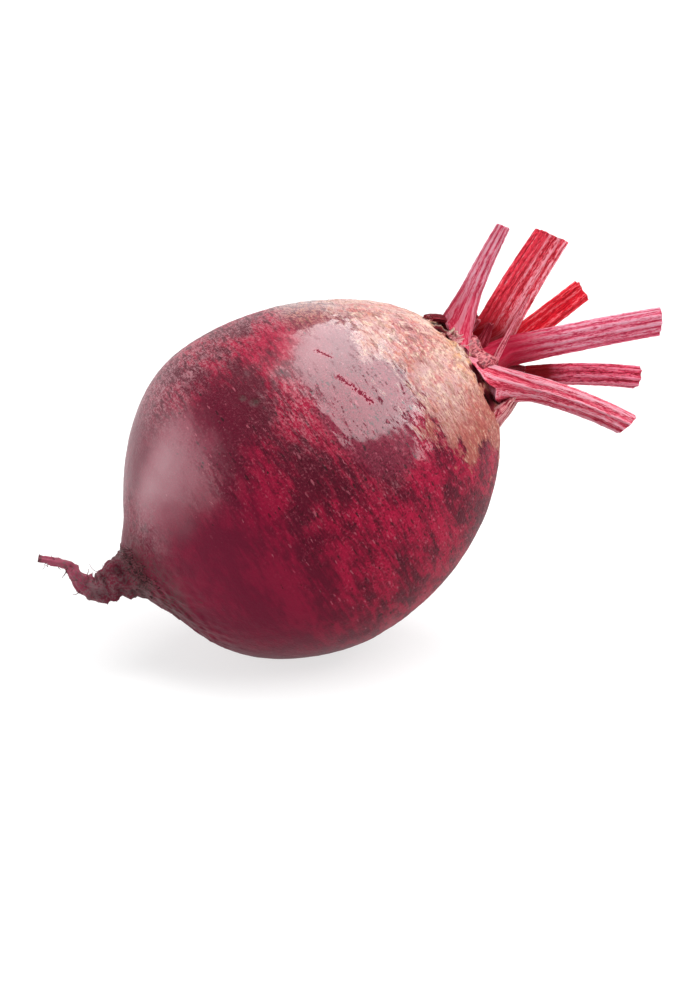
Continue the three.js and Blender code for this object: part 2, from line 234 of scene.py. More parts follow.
is_crown = ring_number < CROWN_RINGS
is_tail = ring_number >= TAIL_START

# Each ring faces down the axis, and turns to follow the tail.
tail_heading = unit(np.gradient(ring_middles[is_tail], axis=0))
turn = ramp(tail_places, 0, 0.25)[:, None]
facing = np.tile([0.0, 0.0, -1.0], (len(ring_radii), 1))
facing[is_tail] = facing[is_tail] * (1 - turn) + tail_heading * turn
facing = unit(facing)
sideways = unit(np.cross(facing, [0, 1, 0]))
backwards = np.cross(sideways, facing)

# Broad lumps, a fuller heel on the underside, and folds that run into the crown and down the tail.
angle = ring_angles(ROOT_SIDES)[None, :]
height = ring_middles[:, 2][:, None]
radius = ring_radii[:, None]
share = radius / ROOT_RADIUS
lumps = (
    -0.5 * np.cos(2 * angle) - 0.4 * np.cos(3 * angle + 0.05 * (height + 20))
    + 0.25 * np.cos(5 * angle - 0.07 * (height + 20))
)
heel = (1.7 * hump(height, -30, 8) - 0.9 * hump(height, -8, 14)) * np.cos(angle / 2) ** 4
crown_folds = 0.35 * np.cos(11 * angle + 1) + 0.3 * np.cos(7 * angle)
tail_folds = 0.3 * np.cos(6 * angle + 0.8)
relief = (
    share * lumps + heel + ramp(height, 30, 48) * crown_folds
    + ramp(-height, 27, 35) * tail_folds * np.minimum(1, 2 * share)
)
along_tail = np.zeros(len(ring_radii))
along_tail[is_tail] = tail_places
along_tail = along_tail[:, None]
tail_relief = radius * (
    0.13 * np.cos(5 * angle + 9 * along_tail) + 0.1 * np.cos(2 * angle - 34 * along_tail)
    + 0.08 * np.cos(62 * along_tail + 1.5 * np.cos(angle + 3 * along_tail))
)
tail_relief *= mix_of(0.3, 1, ramp(along_tail, 0, 0.16)) * (1 - 0.5 * along_tail)
relief = np.where(is_tail[:, None], tail_relief, relief)

out = sideways[:, None, :] * np.cos(angle)[..., None] + backwards[:, None, :] * np.sin(angle)[..., None]
plain_skin = ring_middles[:, None, :] + out * (radius + relief)[..., None]

# The belly runs into the tail in one curve.
ease = hump(ring_number, TAIL_START - 0.5, 7)[1:-1, None, None]
for _ in range(EASING_PASSES):
    between = (plain_skin[:-2] + plain_skin[2:]) / 2
    plain_skin[1:-1] += (between - plain_skin[1:-1]) * ease * EASING_SHARE

# Unevenness of the skin: fine and coarse, the cork, the knobbly neck and the ring of nubs on the crown.
level = plain_skin[..., 2]
skin_turn = np.degrees(np.arctan2(plain_skin[..., 1], plain_skin[..., 0]))


def round_gap(middle):
    """Degrees round the root from a given angle."""
    return np.abs((skin_turn - middle + 180) % 360 - 180)


fine = uneven(plain_skin * [1, 1, 2.0], 0.42)
coarse = uneven(plain_skin * [1, 1, 1.6] + 40, 0.12)
cork_line = height - 7 * np.cos(angle) + 5 * hump(np.degrees(angle), 258, 20) + 6 * coarse
cork_share = ramp(cork_line, 32.5, 44) * ~is_tail[:, None]
neck_line = -height + 2.5 * coarse + 1.5 * np.cos(angle)
tail_share = np.maximum(ramp(neck_line, 34, 39), is_tail[:, None] * 1.0)
lip = hump(radius, 12.6, 1.3) * is_crown[:, None]
knobbly = hump(height, -34, 4.5) * (0.5 + 0.5 * np.cos(angle + 1.1)) ** 2
wrinkle = (
    0.05 + 0.85 * knobbly + 0.2 * cork_share + 0.55 * tail_share * np.minimum(1, radius / 2.4) + 0.35 * lip
)
knobs = uneven(plain_skin + 90, 0.95, 2) * tail_share * np.minimum(1, radius / 1.6)
skin = plain_skin + out * (wrinkle * fine + 0.1 * coarse + 0.30 * knobs)[..., None]

collar = hump(radius, 8.4, 1.6) * (0.55 * np.cos(5 * angle + 2) + 0.4 * np.cos(8 * angle))
groove = 0.8 * hump(radius, 11.0, 0.7) * ramp(fine + 0.5 * coarse, -0.1, 0.4)
raise_crown = collar + 0.45 * fine * ramp(radius, 2, 7) - groove
skin[..., 2] += np.where(is_crown[:, None], raise_crown, 0)

opening = np.zeros(skin.shape[:2])
for crack_turn, distance, rise, length, width, depth in CRACKS:
    from_crack = plain_skin - [0, 0, rim_height + rise]
    outer = outwards(crack_turn)
    reach = from_crack @ outer - distance
    round_crown = from_crack[..., 1] * outer[0] - from_crack[..., 0] * outer[1]
    along_crack = round_crown / (length * 0.56)
    across_crack = np.hypot(reach, from_crack[..., 2]) / (width * 0.72)
    near = np.exp(-(along_crack**2) - across_crack**2)
    opening = np.maximum(opening, near * ramp(fine, -1.0, 0.0) * depth * 0.95)
skin -= (out * 0.5 + [0, 0, 0.85]) * opening[..., None]
crack_share = np.maximum(opening / 2.0, groove * 0.9 * is_crown[:, None])

# Fine ridges that run round the shoulder, strongest at the front.
ridges = uneven(points_at(9 * np.cos(angle), 9 * np.sin(angle), 0.75 * level), 1.0, 2)
ridged = hump(level, 10, 13) * (0.35 + 0.65 * hump(round_gap(-125), 0, 40))
skin += out * (0.05 * ridged * ridges)[..., None]

# Short slits where the skin has split as the root swelled: both ends, on the skin, and the width.
slits = []
for start, low, end, high, width in SLITS:
    ends = [
        skin.reshape(-1, 3)[np.argmin(round_gap(way) + 3 * np.abs(level - at_height))]
        for way, at_height in ((start, low), (end, high))
    ]
    slits.append((*ends, width))


# Colours and grain of the skin. The grain runs round the root, as the rings of its flesh do.
class Shading:
    """The nodes of one material or group, with a short call for each kind that is used."""

    def __init__(self, tree):
        self.nodes, self.links = tree.nodes, tree.links

    def node(self, kind, operation=None):
        made = self.nodes.new("ShaderNode" + kind)
        if operation:
            made.operation = operation
        return made

    def plug(self, value, socket):
        """Links a socket to another one, or sets it to a number, a vector or a colour."""
        if isinstance(value, bpy.types.NodeSocket):
            self.links.new(value, socket)
        elif isinstance(value, tuple) and len(socket.default_value) == 4:
            socket.default_value = (*value, 1)
        else:
            socket.default_value = value

    def reckon(self, operation, *values):
        node = self.node("Math", operation)
        for value, socket in zip(values, node.inputs):
            self.plug(value, socket)
        return node.outputs[0]

    def times(self, first, second):
        return self.reckon("MULTIPLY", first, second)

    def plus(self, first, second):
        return self.reckon("ADD", first, second)

    def less(self, first, second):
        return self.reckon("SUBTRACT", first, second)

    def larger(self, first, second):
        return self.reckon("MAXIMUM", first, second)

    def weighed(self, *parts, start=0.0):
        """The start value plus every other value times its own weight."""
        total = start
        for value, weight in parts:
            total = self.reckon("MULTIPLY_ADD", value, weight, total)
        return total

    def clamped(self, value):
        node = self.node("Clamp")
        self.plug(value, node.inputs["Value"])
        return node.outputs[0]

    def step(self, value, low, high, out_low=0.0, out_high=1.0):
        """A soft step from out_low to out_high as value goes from low to high."""
        node = self.node("MapRange")
        node.interpolation_type = "SMOOTHSTEP"
        self.plug(value, node.inputs["Value"])
        self.plug(low, node.inputs["From Min"])
        self.plug(high, node.inputs["From Max"])
        self.plug(out_low, node.inputs["To Min"])
        self.plug(out_high, node.inputs["To Max"])
        return node.outputs["Result"]

    def blend(self, share, first, second):
        node = self.node("Mix")
        node.data_type = "RGBA"
        self.plug(share, node.inputs[0])
        self.plug(first, node.inputs[6])
        self.plug(second, node.inputs[7])
        return node.outputs[2]

    def layered(self, colour, layers):
        """A colour with others laid over it, each by its own share."""
        for share, layer in layers:
            colour = self.blend(share, colour, layer)
        return colour

    def vector(self, operation, *vectors):
        node = self.node("VectorMath", operation)
        for vector, socket in zip(vectors, node.inputs):
            self.plug(vector, socket)
        return node

    def stretched(self, vector, *sizes):
        return self.vector("MULTIPLY", vector, sizes).outputs[0]

    def split(self, vector):
        node = self.node("SeparateXYZ")
        self.plug(vector, node.inputs[0])
        return node.outputs["X"], node.outputs["Y"], node.outputs["Z"]

    def joined(self, x, y, z):
        node = self.node("CombineXYZ")
        self.plug(x, node.inputs["X"])
        self.plug(y, node.inputs["Y"])
        self.plug(z, node.inputs["Z"])
        return node.outputs[0]

    def cloud(self, vector, scale, detail=3.0, roughness=0.55):
        """Cloudy noise from 0 to 1."""
        node = self.node("TexNoise")
        self.plug(vector, node.inputs["Vector"])
        self.plug(scale, node.inputs["Scale"])
        self.plug(detail, node.inputs["Detail"])
        self.plug(roughness, node.inputs["Roughness"])
        return node.outputs["Fac"]

    def mark(self, label, output="Fac"):
        """A value that the mesh carries at its points."""
        node = self.node("Attribute")
        node.attribute_name = label
        return node.outputs[output]

    def effect(self, name, values):
        """A node group with its own values put in."""
        node = self.node("Group")
        node.node_tree = bpy.data.node_groups[name]
        for label, value in values.items():
            self.plug(value, node.inputs[label])
        return node.outputs

    def bump(self, height, distance):
        node = self.node("Bump")
        self.plug(height, node.inputs["Height"])
        self.plug(distance, node.inputs["Distance"])
        return node.outputs["Normal"]


def new_group(name, inputs, outputs):
    """The shading of a new node group, the sockets that it is asked through and those it gives."""
    group = bpy.data.node_groups.new(name, "ShaderNodeTree")
    for label, kind, start in inputs:
        socket = group.interface.new_socket(label, in_out="INPUT", socket_type="NodeSocket" + kind)
        if start is not None:
            socket.default_value = start
    for label, kind in outputs:
        group.interface.new_socket(label, in_out="OUTPUT", socket_type="NodeSocket" + kind)
    asked, given = group.nodes.new("NodeGroupInput"), group.nodes.new("NodeGroupOutput")
    return Shading(group), asked.outputs, given.inputs


def new_material(name, roughness, specular):
    """A new material, its shading and the sockets of its shader."""
    material = bpy.data.materials.new(name)
    material.use_nodes = True
    sockets = material.node_tree.nodes["Principled BSDF"].inputs
    sockets["Roughness"].default_value = roughness
    sockets["Specular IOR Level"].default_value = specular
    return material, Shading(material.node_tree), sockets


# Where a point is in the plant: its place in millimetres, its height, and its direction round the axis.
tree, _, given = new_group(
    "plant_place", [], [("Place", "Vector"), ("Height", "Float"), ("Round", "Vector")])
MILLIMETRES = 1000
upright = tree.node("Mapping")
upright.inputs["Rotation"].default_value = (0, -GROWING_TILT, 0)
upright.inputs["Scale"].default_value = (MILLIMETRES, MILLIMETRES, MILLIMETRES)
middle_x, middle_y, middle_z = WIDEST_RING_MIDDLE
upright.inputs["Location"].default_value = (
    -middle_x * math.cos(GROWING_TILT) + middle_z * math.sin(GROWING_TILT),
    -middle_y,
    -middle_x * math.sin(GROWING_TILT) - middle_z * math.cos(GROWING_TILT),
)
tree.plug(tree.node("TexCoord").outputs["Object"], upright.inputs["Vector"])
x, y, z = tree.split(upright.outputs["Vector"])
unit_x, unit_y, _ = tree.split(tree.vector("NORMALIZE", tree.joined(x, y, 0.0)).outputs[0])
tree.plug(upright.outputs["Vector"], given["Place"])
tree.plug(z, given["Height"])
tree.plug(tree.joined(unit_x, unit_y, z), given["Round"])

# Scattered specks. Share is how many of the cells hold one, and Size is how large it is.
tree, asked, given = new_group(
    "specks", [("Vector", "Vector", None), ("Share", "Float", 0.2), ("Size", "Float", 0.35)],
    [("Mask", "Float"), ("Chance", "Float")])
wobble = tree.node("TexNoise")
tree.plug(asked["Vector"], wobble.inputs["Vector"])
tree.plug(1.7, wobble.inputs["Scale"])
shifted = tree.vector("MULTIPLY_ADD", wobble.outputs["Color"], (0.9, 0.9, 0.9), asked["Vector"])
cells = tree.node("TexVoronoi")
tree.plug(shifted.outputs[0], cells.inputs["Vector"])
tree.plug(1.0, cells.inputs["Scale"])
chance = tree.node("SeparateColor")
tree.plug(cells.outputs["Color"], chance.inputs[0])
is_speck = tree.reckon("LESS_THAN", chance.outputs["Red"], asked["Share"])
own_size = tree.times(asked["Size"], tree.step(chance.outputs["Green"], 0.0, 1.0, 0.4, 1.3))
speck_edge = tree.step(tree.less(cells.outputs["Distance"], own_size), 0.0, -0.16)
tree.plug(tree.times(speck_edge, is_speck), given["Mask"])
tree.plug(chance.outputs["Blue"], given["Chance"])

# A slit between two points: its dark inside and the paler lips beside it.
tree, asked, given = new_group(
    "skin_slit",
    [("Place", "Vector", None), ("Start", "Vector", None), ("End", "Vector", None),
     ("Width", "Float", 0.3), ("Waver", "Float", 0.5)],
    [("Inside", "Float"), ("Lips", "Float")])
run = tree.vector("SUBTRACT", asked["End"], asked["Start"]).outputs[0]
reached = tree.vector("SUBTRACT", asked["Place"], asked["Start"]).outputs[0]
share_run = tree.reckon(
    "DIVIDE", tree.vector("DOT_PRODUCT", reached, run).outputs["Value"],
    tree.vector("DOT_PRODUCT", run, run).outputs["Value"])
along_run = tree.vector("SCALE", run)
tree.plug(tree.clamped(share_run), along_run.inputs["Scale"])
aside = tree.vector("DISTANCE", reached, along_run.outputs[0]).outputs["Value"]
aside = tree.plus(aside, tree.weighed((asked["Waver"], 3.2), start=-1.6))
aside = tree.reckon("DIVIDE", aside, asked["Width"])
tree.plug(tree.step(aside, 1.5, 0.8), given["Inside"])
tree.plug(tree.step(aside, 2.9, 1.3), given["Lips"])

WINE = (0.084, 0.0014, 0.0125)
CRIMSON = (0.335, 0.0045, 0.036)
PLUM = (0.158, 0.0042, 0.028)
BELLY_PAINTED_GLOW = (0.270, 0.0070, 0.045)
UNDER_WAX = (0.165, 0.0060, 0.028)
DARK_SPECK_AND_SHADE = (0.030, 0.0030, 0.0065)
PALE_SPECK_AND_GLINT = (0.50, 0.12, 0.165)
BLOOM_AND_SHEEN = (0.46, 0.215, 0.245)
SCAB = (0.080, 0.036, 0.036)
CORK_PEACH = (0.57, 0.365, 0.335)
CORK_CREAM = (0.76, 0.56, 0.43)
CORK_ORANGE = (0.56, 0.215, 0.085)
CORK_YELLOW = (0.70, 0.36, 0.16)
CORK_ROSE = (0.52, 0.18, 0.175)
CORK_BROWN = (0.27, 0.065, 0.060)
CORK_LILAC = (0.50, 0.275, 0.285)
CORK_OLIVE = (0.24, 0.130, 0.075)
CORK_DEEP_BROWN = (0.36, 0.080, 0.060)
CROWN_RED = (0.36, 0.015, 0.038)
CROWN_PINK = (0.58, 0.140, 0.165)
CROWN_PALE = (0.72, 0.47, 0.39)
CROWN_DARK = (0.09, 0.005, 0.012)
TAIL_TIP_ROSE = (0.36, 0.060, 0.110)
EARTH = (0.185, 0.102, 0.112)
SLIT_LIP = (0.58, 0.08, 0.14)
SLIT_INSIDE = (0.17, 0.003, 0.022)
CRACK_EDGE = (0.16, 0.012, 0.020)
PAINTED_PIT_SHADE = (0.030, 0.0015, 0.003)
SKIN_GRAIN_DEPTH = 0.00025

skin_material, tree, sockets = new_material("beet_skin", 0.5, specular=0.10)
sockets["Coat Roughness"].default_value = 0.13
sockets["Coat IOR"].default_value = 1.8
plant = tree.effect("plant_place", {})
in_plant, above, round_root = plant["Place"], plant["Height"], plant["Round"]
blotches = tree.cloud(tree.stretched(round_root, 2.2, 2.2, 0.12), 1.0, 5.0, 0.62)
streaks = tree.cloud(tree.stretched(round_root, 9, 9, 1.1), 1.0, 4.0, 0.6)
lines = tree.cloud(tree.stretched(round_root, 13, 13, 2.4), 1.0, 5.0, 0.75)
spots = tree.cloud(tree.stretched(round_root, 16, 16, 0.9), 1.0, 3.0, 0.65)
threads = tree.cloud(tree.stretched(round_root, 26, 26, 3.4), 1.0, 3.0, 0.6)
patches = tree.cloud(in_plant, 0.11, 4.0, 0.6)
stains = tree.cloud(in_plant, 0.42, 3.0, 0.6)
grit = tree.cloud(in_plant, 1.9, 2.0, 0.6)
fibres = tree.cloud(tree.stretched(in_plant, 2.1, 2.1, 0.5), 1.0, 3.0, 0.6)
bright, flecked, bloom_and_sheen, scab, wax = (
    tree.mark(label) for label in ("bright", "flecked", "bloom_and_sheen", "scab", "wax"))
cork, thin_cork, cork_browning, crack = (tree.mark(label) for label in ("cork", "thin_cork", "cork_browning", "crack"))
tail, tip, fuzz = (tree.mark(label) for label in ("tail", "tip", "fuzz"))

# Thin skin: crimson and wine-red patches, plum below, dark and pale specks partly painted as shade and
# glints, and a dusty bloom partly painted as sheen.
mottle = tree.weighed((blotches, 0.6), (streaks, 0.4), start=bright)
below = tree.step(above, 8, -22, 0.0, 0.8)
# Painted light: a brighter red on the waxed belly, where its soft reflection falls.
belly_painted_glow = tree.times(below, tree.step(wax, 0.25, 0.65, 0, 0.8))
# Dark specks and grit are partly the skin's own dark flecks and partly painted shade on the lower sides and
# in the pits of fine bumps.
coarse_grain = tree.times(flecked, tree.step(spots, 0.36, 0.60, 0.25, 1.0))
dark_grit_and_shade = tree.times(coarse_grain, tree.step(grit, 0.47, 0.36, 0, 0.7))
dark_and_shade_specks = tree.effect("specks", {
    "Vector": tree.stretched(round_root, 23, 23, 1.7), "Share": tree.times(coarse_grain, 0.42), "Size": 0.44})
# Pale specks and grit are partly the skin's pale scales and partly painted glints, where fine bumps would
# catch the light.
pale_and_glint_specks = tree.effect("specks", {
    "Vector": tree.stretched(round_root, 28, 28, 2.1), "Share": tree.times(coarse_grain, 0.46), "Size": 0.44})
pale_and_glint_mask = tree.times(pale_and_glint_specks["Mask"], tree.step(pale_and_glint_specks["Chance"], 0.1, 1.0, 0.0, 0.45))
pale_and_glint_grit = tree.times(coarse_grain, tree.step(grit, 0.55, 0.70, 0, 0.30))
# The bloom is partly dust on the skin and partly a painted sheen, where the upper side would catch the white
# surroundings at a grazing angle.
bloom_and_sheen_grain = tree.weighed((threads, 0.4), (spots, 0.25), (grit, 0.35))
bloom_and_sheen_cover = tree.times(bloom_and_sheen, tree.step(bloom_and_sheen_grain, 0.44, 0.60, 0.0, 0.60))
colour = tree.layered(tree.blend(tree.step(mottle, 0.43, 0.61), WINE, CRIMSON), [
    (tree.step(wax, 0.30, 0.65, 0, 0.75), UNDER_WAX),
    (below, PLUM),
    (belly_painted_glow, BELLY_PAINTED_GLOW),
    (dark_grit_and_shade, DARK_SPECK_AND_SHADE),
    (tree.times(dark_and_shade_specks["Mask"], dark_and_shade_specks["Chance"]), DARK_SPECK_AND_SHADE),
    (tree.larger(pale_and_glint_grit, pale_and_glint_mask), PALE_SPECK_AND_GLINT),
    (bloom_and_sheen_cover, BLOOM_AND_SHEEN),
    (tree.times(bloom_and_sheen_cover, tree.step(above, 18, 25, 0, 0.9)), CORK_ORANGE),
    (tree.times(bloom_and_sheen, tree.step(streaks, 0.48, 0.38, 0, 0.85)), WINE),
    (tree.times(scab, tree.step(grit, 0.40, 0.55, 0.35, 1.0)), SCAB),
])

# Cork round the crown: peach and rose, streaked with cream, olive and brown, lilac where it thins out.
broken = tree.weighed((streaks, 1.3), (patches, 1.3), (threads, 0.8), start=-1.7)
cork_edge = tree.weighed((broken, tree.step(cork, 0.0, 0.15)), start=cork)
near_rim = tree.weighed((spots, 8.0), start=above)
at_rim = tree.step(near_rim, 49.5, 53.0)
browned = tree.weighed((cork_browning, -0.07), start=lines)
cork_colour = tree.layered(tree.blend(tree.step(patches, 0.42, 0.56), CORK_ROSE, CORK_PEACH), [
    (tree.step(tree.less(cork_edge, patches), 0.50, 0.15, 0, 0.8), CORK_LILAC),
    (tree.step(near_rim, 47.5, 52.0, 0, 0.45), CORK_CREAM),
    (tree.step(spots, 0.50, 0.64, 0, 0.8), CORK_CREAM),
    (tree.step(grit, 0.54, 0.70, 0, 0.35), CORK_CREAM),
    (tree.step(spots, 0.45, 0.36, 0, 0.4), CORK_ORANGE),
    (tree.step(stains, 0.50, 0.60, 0, 0.6), CORK_LILAC),
    (tree.step(stains, 0.39, 0.31, 0, 0.55), CORK_OLIVE),
    (tree.times(at_rim, tree.step(stains, 0.50, 0.60, 0, 0.85)), CORK_YELLOW),
    (tree.times(at_rim, tree.step(stains, 0.44, 0.38, 0, 0.8)), CORK_BROWN),
    (tree.times(cork_browning, 0.9), CORK_DEEP_BROWN),
    (tree.step(lines, 0.54, 0.66, 0, 0.5), CORK_CREAM),
    (tree.step(streaks, 0.48, 0.39, 0, 0.4), CORK_OLIVE),
    (tree.step(browned, 0.46, 0.36, 0, 0.8), CORK_BROWN),
    (tree.step(threads, 0.43, 0.31, 0, 0.65), CORK_BROWN),
])
thin_edge = tree.weighed((grit, 1.2), start=tree.plus(cork_edge, -0.6))
corky = tree.step(cork_edge, 0.26, 0.62)
corky = tree.weighed((thin_cork, tree.less(tree.step(thin_edge, 0.12, 1.10), corky)), start=corky)

# The torn top of the crown, the earthy tail, and the slits and cracks, with painted shade deep in the cracks
# and in the groove round the crown.
pinkish = tree.weighed((fibres, 0.4), (stains, 0.6))
crown_colour = tree.layered(tree.blend(tree.step(pinkish, 0.42, 0.56), CROWN_RED, CROWN_PINK), [
    (tree.step(fibres, 0.56, 0.68, 0, 0.4), CROWN_PALE),
    (tree.step(fibres, 0.52, 0.40, 0, 0.75), CROWN_DARK),
])
above_rim = tree.weighed((streaks, 3.0), start=above)
dusty = tree.weighed((patches, 0.5), (grit, 0.5))
earthy = tree.times(tail, tree.step(tree.weighed((tip, -0.10), start=dusty), 0.42, 0.54, 0.15, 0.92))
slit_inside, slit_lips = 0.0, 0.0
for start, end, width in slits:
    slit = tree.effect("skin_slit", {
        "Place": in_plant, "Start": start, "End": end, "Width": width, "Waver": grit})
    slit_inside = tree.larger(slit["Inside"], slit_inside)
    slit_lips = tree.larger(slit["Lips"], slit_lips)
colour = tree.layered(colour, [
    (corky, cork_colour),
    (tree.step(above_rim, 52.2, 53.2), crown_colour),
    (tip, TAIL_TIP_ROSE),
    (earthy, EARTH),
    (tree.times(fuzz, tree.step(dusty, 0.44, 0.55, 0.2, 0.95)), SCAB),
    (tree.times(slit_lips, 0.35), SLIT_LIP),
    (slit_inside, SLIT_INSIDE),
    (tree.step(crack, 0.12, 0.40), CRACK_EDGE),
    # Painted shade deep in the cracks and in the groove round the crown.
    (tree.step(crack, 0.35, 0.9), PAINTED_PIT_SHADE),
])
tree.plug(colour, sockets["Base Color"])

# The wax that makes the shoulder shine is rubbed off along the grain, and lies thinly on the cork.
rubbed = tree.weighed((streaks, 0.5), (threads, 0.35), (grit, 0.25))
left_on = tree.weighed((rubbed, 6.5), start=tree.plus(wax, -3.575))
left_on = tree.times(tree.step(left_on, 0.27, 0.52, 0.05, 0.74), tree.step(above, 17, 32, 0.76, 1.0))
waxy = tree.weighed((flecked, tree.less(left_on, wax)), start=wax)
dulled = tree.weighed((thin_cork, -0.35), start=cork_edge)
for share_kept in (
    tree.step(wax, 0.08, 0.26), tree.step(dulled, 0.3, 0.9, 1.0, 0.28), tree.less(1.0, slit_inside),
    tree.step(crack, 0.3, 0.1), tree.less(1.0, scab),
):
    waxy = tree.times(waxy, share_kept)
tree.plug(tree.clamped(waxy), sockets["Coat Weight"])

rough = tree.plus(tree.step(cork_edge, 0.3, 0.8, 0.36, 0.68), -0.08)
tree.plug(tree.weighed((flecked, 0.10), (earthy, 0.2), (grit, 0.16), start=rough), sockets["Roughness"])
grainy = tree.weighed((threads, 0.45), (grit, 0.6), (pale_and_glint_mask, 0.12), (lines, 0.5))
grain_depth = tree.weighed((bloom_and_sheen, 1.3), start=tree.step(cork_edge, 0.2, 0.9, 1.0, 2.2))
grain_depth = tree.times(grain_depth, tree.step(flecked, 0, 1, 0.35, 1))
tree.plug(tree.bump(tree.times(grainy, grain_depth), SKIN_GRAIN_DEPTH), sockets["Normal"])

# Where each of these lies on the root.
BRIGHT_PATCHES = [
    [-168, 4, 20, 14, -0.04], [-157, 19, 14, 10, 0.05], [-140, 3, 15, 10, -0.13], [-105, -4, 30, 10, 0.04],
    [170, 22, 30, 9, 0.03], [-112, 8, 14, 6, -0.04], [-120, 15, 9, 4, 0.10], [-75, 24, 30, 8, 0.05],
    [-108, 28, 15, 9, 0.06], [-135, 11, 9, 4, 0.10], [-160, 13, 14, 9, 0.035],
]  # angle, height, how far it spreads round and up, how bright
upper_gap = round_gap(180)
upper_side = np.cos(np.radians(upper_gap))
fleck_share = ramp(level + 10 * upper_side + 7 * coarse, -18, 10) * mix_of(0.4, 1, ramp(upper_gap, 32, 56))
bright_share = np.zeros(skin.shape[:2])
for middle, at_height, spread_angle, spread_height, amount in BRIGHT_PATCHES:
    bright_share += amount * hump(round_gap(middle), 0, spread_angle) * hump(level, at_height, spread_height)
# The cork is browner at the front and at the back, towards the underside, and in a russet patch beside the
# shoulder's highlight.
russet = hump(round_gap(-100), 0, 11) * hump(level, 32.5, 4.5)
cork_browning_share = np.clip(hump(round_gap(-66), 0, 34) + 0.6 * hump(round_gap(60), 0, 34) + 0.35 * coarse, 0, 1)
cork_browning_share = np.maximum(cork_browning_share, russet)
thin_share = hump(round_gap(-152), 0, 24)

belly_wax = ramp(upper_gap + 3 * coarse, 74, 24) * mix_of(0.3, 1, ramp(upper_gap, 12, 32))
belly_wax *= ramp(-level + 1.5 * coarse, 34, 27)
wax_end = 15.5 + 6.5 * ramp(upper_gap, 34, 17)
shoulder_wax = 0.05 + 0.88 * ramp(upper_gap + 4 * coarse, 93, 75) * mix_of(
    0.12, 1, ramp(level + 2.5 * coarse + 0.8 * fine, wax_end - 5, wax_end + 5))
shoulder_wax *= 1 - 0.85 * russet
wax_share = mix_of(shoulder_wax, 0.03 + 0.76 * belly_wax, ramp(level + 2 * coarse, 0, -15))
wax_share *= 1 - 0.9 * tail_share

# The bloom's painted sheen lies on the upper side. The two patches below are painted reflection, at the
# tail's foot and beside the shoulder's highlight.
bloom_and_sheen_share = ramp(upper_gap + 6 * coarse, 27, 8) * ramp(level + 4 * coarse, -24, -8) * ramp(level, 44, 30)
bloom_and_sheen_share *= 1 - 0.9 * hump(round_gap(-157), 0, 16) * hump(level, 13, 10)
for painted_reflection_patch in (
    0.75 * hump(level + coarse, -31, 3.5) * ramp(upper_gap + 8 * fine, 75, 25),
    0.8 * hump(level + coarse, 10.5, 4.5) * hump(round_gap(-131), 0, 12),
):
    bloom_and_sheen_share = np.maximum(bloom_and_sheen_share, painted_reflection_patch)
fuzz_share = hump(level + 2 * coarse, -36.0, 3.8) * mix_of(0.1, 1, ramp(round_gap(-108) + 12 * fine, 75, 25))
fuzz_share = np.maximum(fuzz_share, is_tail[:, None] * 0.8 * ramp(along_tail, 0.35, 0.0))
fuzz_share = np.maximum(fuzz_share, ramp(along_tail, 0.975, 0.99))

# Scabs and the scars of side roots.
scab_share = np.zeros(skin.shape[:2])
for middle, at_height, size in SCABS:
    round_scab = np.radians(round_gap(middle)) * np.hypot(plain_skin[..., 0], plain_skin[..., 1])
    from_scab = np.hypot(round_scab, level - at_height)
    bowl = ramp(from_scab + 0.35 * size * fine, size, 0.3 * size)
    scab_share = np.maximum(scab_share, bowl)
    scab_relief = 0.12 * size * hump(from_scab, size, 0.4 * size) - 0.3 * size * bowl * (0.5 + fine)
    skin += out * scab_relief[..., None]

skin_marks = dict(
    cork=cork_share, thin_cork=thin_share, cork_browning=cork_browning_share, crack=crack_share, scab=scab_share,
    bright=bright_share, flecked=fleck_share, bloom_and_sheen=bloom_and_sheen_share, wax=wax_share,
    tail=tail_share, tip=ramp(along_tail, 0.3, 0.75), fuzz=fuzz_share)
root = skin_piece("root_skin", [
    ring_skin(skin, **{label: share[..., None] for label, share in skin_marks.items()})], skin_material)
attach(root, "root")
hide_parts("whole_root")

# ---------- Leaf stalks ----------
# Six leaf stalks, cut short with a knife. Each is a juicy crimson stem with pale ribs along its rounded
# back and a channel down its inner face, and it widens where it clasps the crown.
STALKS = {
    "stalk_back_broad": dict(
        foot=[2.7, 2.5, 2.5], around=139, facing=98, leans=[31, 22], length=36.8,
        width=10.4, end_width=8.6, thickness=4.8, slant=-0.3, ribs=13, redder=(-0.1, 0.8, 0.12),
        clasp=[74, 156, 11.4, 1.8, 2.6, 11]),
    "stalk_inner": dict(
        foot=[-1.7, -2.0, 2.5], around=-12, facing=-80, leans=[21, 25], length=44.3,
        width=7.0, end_width=6.4, thickness=4.8, slant=-0.15, ribs=11, redder=(0.2, 0.7, 0.13),
        clasp=[-130, 20, 6.6, 4.4, 2.2, 9]),
    "stalk_back_short": dict(
        foot=[4.2, 5.4, 2.5], around=75, facing=78, leans=[15, 22.5], length=34.7,
        width=5.4, end_width=5.2, thickness=4.2, clasp=[38, 96, 9.6, 3.6, 2.2, 9]),
    "stalk_under": dict(
        foot=[6.1, 2.7, 2.5], around=8, facing=-50, leans=[25, 43.5], length=38.8,
        width=5.4, end_width=5.6, thickness=4.8, clasp=[-34, 46, 11.8, 1.7, 2.4, 10]),
    "stalk_upper": dict(
        foot=[-9.3, -1.3, 3.4], around=172, facing=235, leans=[37, 27], length=25.6,
        width=5.6, end_width=3.0, thickness=4.8, flare=0.2, slant=0.1, clasp=[164, 247, 11.3, 2.2, 2.4, 9]),
    "stalk_front": dict(
        foot=[2.8, -6.3, 2.5], around=-17, facing=-62, leans=[39, 61.5], length=33.8,
        width=5.8, end_width=5.2, thickness=4.8, flare=0.6, slant=-0.35,
        clasp=[-126, -30, 11.4, 2.2, 2.2, 11]),
}  # foot: its place across the crown and above the rim. around: which way the stalk leans. facing: which
